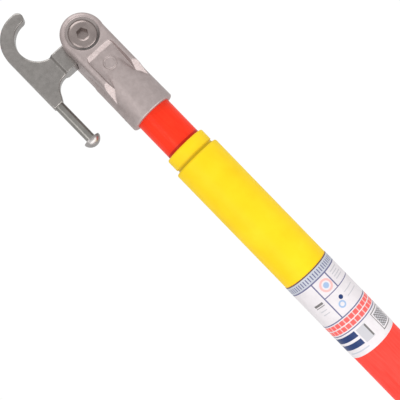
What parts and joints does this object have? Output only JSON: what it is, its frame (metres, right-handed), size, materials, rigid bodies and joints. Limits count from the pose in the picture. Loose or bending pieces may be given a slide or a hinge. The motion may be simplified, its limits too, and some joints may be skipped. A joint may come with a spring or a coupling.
{
  "type": "telescoping hot stick with disconnect head",
  "caption": "Collapsed telescoping insulating pole with a forked cast head, clamping a ring hook that carries a domed prong.",
  "frame": {"origin": "middle of the butt cap's foot, on the pole's axis", "axes": "+Z along the pole from the butt to the head; the hook stands out to -X at rest; the pivot bolt lies along Y with its round head facing -Y, and the lock holes face +Y"},
  "size_m": [0.0747, 0.0453, 0.8074],
  "materials": {
    "red_fibreglass": "gloss gel coat over glass fibre",
    "yellow_plastic": "moulded, satin",
    "label_film": "printed film",
    "black_rubber": "matte",
    "grey_plastic": "moulded",
    "white_plastic": "bearing plastic",
    "plain_steel": "stainless, plain",
    "cast_aluminium": "tumbled casting",
    "hook_aluminium": "tumbled casting, darker"
  },
  "bodies": {
    "base": {"base_tube": "red_fibreglass", "base_ferrule": "yellow_plastic", "rating_label": "label_film", "butt_cap": "black_rubber", "butt_cushion": "black_rubber"},
    "middle": {"middle_tube": "red_fibreglass", "middle_ferrule": "yellow_plastic", "middle_plug": "grey_plastic", "middle_plug_pin": "plain_steel", "middle_wear_band": "white_plastic", "middle_button_spring": "plain_steel"},
    "middle_lock": {"middle_button": "white_plastic"},
    "tip": {"tip_tube": "red_fibreglass", "tip_plug": "grey_plastic", "tip_plug_pin": "plain_steel", "tip_wear_band": "white_plastic", "tip_button_spring": "plain_steel", "head_casting": "cast_aluminium", "head_pins": "plain_steel", "pivot_bolt": "plain_steel", "tooth_washers": "plain_steel", "pivot_spring_washer": "plain_steel", "pivot_nut": "plain_steel"},
    "tip_lock": {"tip_button": "white_plastic"},
    "hook": {"hook_casting": "hook_aluminium", "prong_rod": "plain_steel", "prong_button": "plain_steel"}
  },
  "joints": [
    {"name": "middle_slide", "type": "slide", "parent": "base", "child": "middle", "axis": [0, 0, 1], "range_m": [0, 0.5127]},
    {"name": "tip_slide", "type": "slide", "parent": "middle", "child": "tip", "axis": [0, 0, 1], "range_m": [0, 0.4329]},
    {"name": "middle_button_press", "type": "slide", "parent": "middle", "child": "middle_lock", "axis": [0, -1, 0], "range_m": [0, 0.002], "stiffness_N_per_m": 400, "springref_m": -0.002, "deforming": ["middle_button_spring"]},
    {"name": "tip_button_press", "type": "slide", "parent": "tip", "child": "tip_lock", "axis": [0, -1, 0], "range_m": [0, 0.002], "stiffness_N_per_m": 400, "springref_m": -0.002, "deforming": ["tip_button_spring"]},
    {"name": "hook_tilt", "type": "hinge", "parent": "tip", "child": "hook", "pos_m": [0, 0, 0.7583], "axis": [0, 1, 0], "range_deg": [-1.5, 181]}
  ]
}
